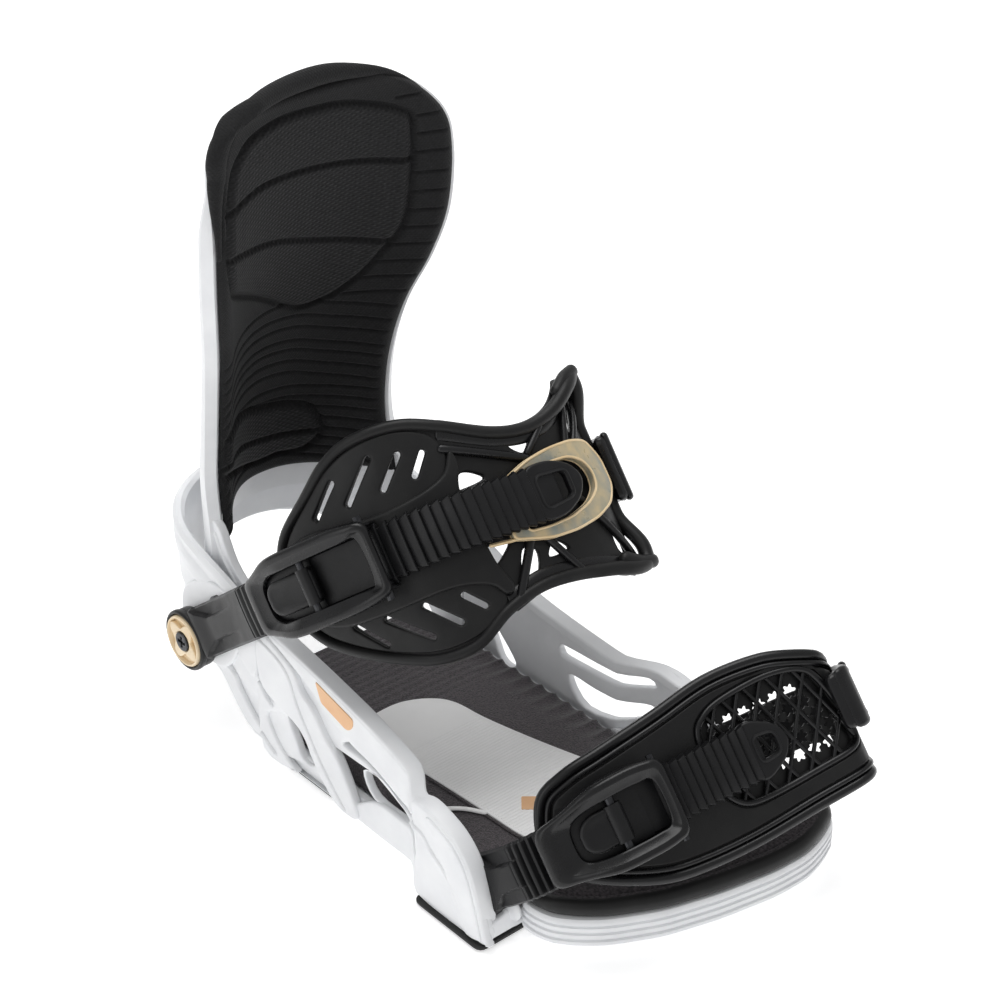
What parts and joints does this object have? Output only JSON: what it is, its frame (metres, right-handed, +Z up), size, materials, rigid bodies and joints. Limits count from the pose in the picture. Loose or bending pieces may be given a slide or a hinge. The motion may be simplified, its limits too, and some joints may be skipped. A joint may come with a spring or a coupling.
{
  "type": "snowboard binding",
  "caption": "Two-strap snowboard binding with a white base and heel loop, tall padded highback, ratchet ankle strap and latticed toe strap.",
  "frame": {"origin": "centre of the mounting disc on the board's top surface", "axes": "+Z up from the board, -Y towards the toe, +X towards the inner (medial) side of a right boot"},
  "size_m": [0.16, 0.3112, 0.277],
  "materials": {
    "white_nylon": "satin moulded nylon",
    "black_nylon": "fine-textured moulded nylon",
    "black_rubber": "matt moulded rubber",
    "dark_foam": "textured foam skin",
    "amber_tpu": "translucent amber elastomer",
    "cream_metal": "cream anodised, satin",
    "dark_steel": "black oxide",
    "bright_steel": "zinc plated",
    "dark_aluminium": "black anodised"
  },
  "bodies": {
    "base": {"baseplate": "white_nylon", "outer_rail": "white_nylon", "inner_rail": "white_nylon", "heel_loop": "white_nylon", "footbed_insert": "white_nylon", "toe_rubber": "black_rubber", "heel_rubber": "black_rubber", "footbed_pad": "dark_foam", "outer_ankle_washer": "cream_metal", "outer_toe_washer": "cream_metal", "inner_ankle_washer": "cream_metal", "inner_toe_washer": "cream_metal", "outer_ankle_screw": "dark_steel", "outer_toe_screw": "dark_steel", "inner_ankle_screw": "dark_steel", "inner_toe_screw": "dark_steel", "outer_ankle_tee_nut": "bright_steel", "outer_toe_tee_nut": "bright_steel", "inner_ankle_tee_nut": "bright_steel", "inner_toe_tee_nut": "bright_steel"},
    "disc": {"mounting_disc": "black_nylon"},
    "ramp": {"toe_ramp": "white_nylon", "toe_ramp_pad": "dark_foam"},
    "highback": {"highback_shell": "white_nylon", "highback_pad": "dark_foam", "outer_pivot_bolt": "bright_steel", "inner_pivot_bolt": "bright_steel", "outer_pivot_nut": "bright_steel", "inner_pivot_nut": "bright_steel"},
    "lean_adjuster": {"lean_adjuster": "black_nylon"},
    "ankle_strap": {"ankle_ladder": "black_nylon", "ankle_strap_pad": "black_rubber", "ankle_keeper_loop": "amber_tpu", "ankle_buckle_base": "dark_aluminium", "ankle_lever_pin": "bright_steel", "ankle_tab_pin": "bright_steel", "ankle_connector": "black_nylon", "ankle_adjuster": "black_nylon"},
    "ankle_lever": {"ankle_lever": "black_nylon"},
    "ankle_tab": {"ankle_release_tab": "dark_aluminium"},
    "toe_strap": {"toe_ladder": "black_nylon", "toe_strap_pad": "black_rubber", "toe_buckle_base": "dark_aluminium", "toe_lever_pin": "bright_steel", "toe_tab_pin": "bright_steel", "toe_connector": "black_nylon", "toe_adjuster": "black_nylon"},
    "toe_lever": {"toe_lever": "black_nylon"},
    "toe_tab": {"toe_release_tab": "dark_aluminium"}
  },
  "joints": [
    {"name": "disc_turn", "type": "hinge", "parent": "base", "child": "disc", "pos_m": [0, 0, 0], "axis": [0, 0, 1], "continuous": true},
    {"name": "ramp_slide", "type": "slide", "parent": "base", "child": "ramp", "axis": [0, -1, 0], "range_m": [0, 0.015]},
    {"name": "highback_fold", "type": "hinge", "parent": "base", "child": "highback", "pos_m": [0, 0.09, 0.06], "axis": [1, 0, 0], "range_deg": [0, 20]},
    {"name": "lean_slide", "type": "slide", "parent": "highback", "child": "lean_adjuster", "axis": [0, -0.2169, 0.9762], "range_m": [0, 0.012]},
    {"name": "ankle_strap_swing", "type": "hinge", "parent": "base", "child": "ankle_strap", "pos_m": [0, 0.105, 0.042], "axis": [1, 0, 0], "range_deg": [-5, 8]},
    {"name": "ankle_lever_open", "type": "hinge", "parent": "ankle_strap", "child": "ankle_lever", "pos_m": [-0.04802, -0.00248, 0.12447], "axis": [0, 0.6088, 0.7934], "range_deg": [0, 60], "stiffness_Nm_per_rad": 0.05, "springref_deg": -11.46},
    {"name": "ankle_tab_lift", "type": "hinge", "parent": "ankle_strap", "child": "ankle_tab", "pos_m": [-0.06401, 0.0179, 0.10883], "axis": [0, 0.6088, 0.7934], "range_deg": [0, 16], "stiffness_Nm_per_rad": 0.03, "springref_deg": -11.46},
    {"name": "toe_strap_swing", "type": "hinge", "parent": "base", "child": "toe_strap", "pos_m": [0, -0.075, 0.019], "axis": [1, 0, 0], "range_deg": [-25, 0]},
    {"name": "toe_lever_open", "type": "hinge", "parent": "toe_strap", "child": "toe_lever", "pos_m": [-0.01017, -0.12379, 0.06366], "axis": [0, 0.6293, 0.7771], "range_deg": [0, 60], "stiffness_Nm_per_rad": 0.05, "springref_deg": -11.46},
    {"name": "toe_tab_lift", "type": "hinge", "parent": "toe_strap", "child": "toe_tab", "pos_m": [-0.03001, -0.11942, 0.05982], "axis": [0, 0.6293, 0.7771], "range_deg": [0, 16], "stiffness_Nm_per_rad": 0.03, "springref_deg": -11.46}
  ]
}
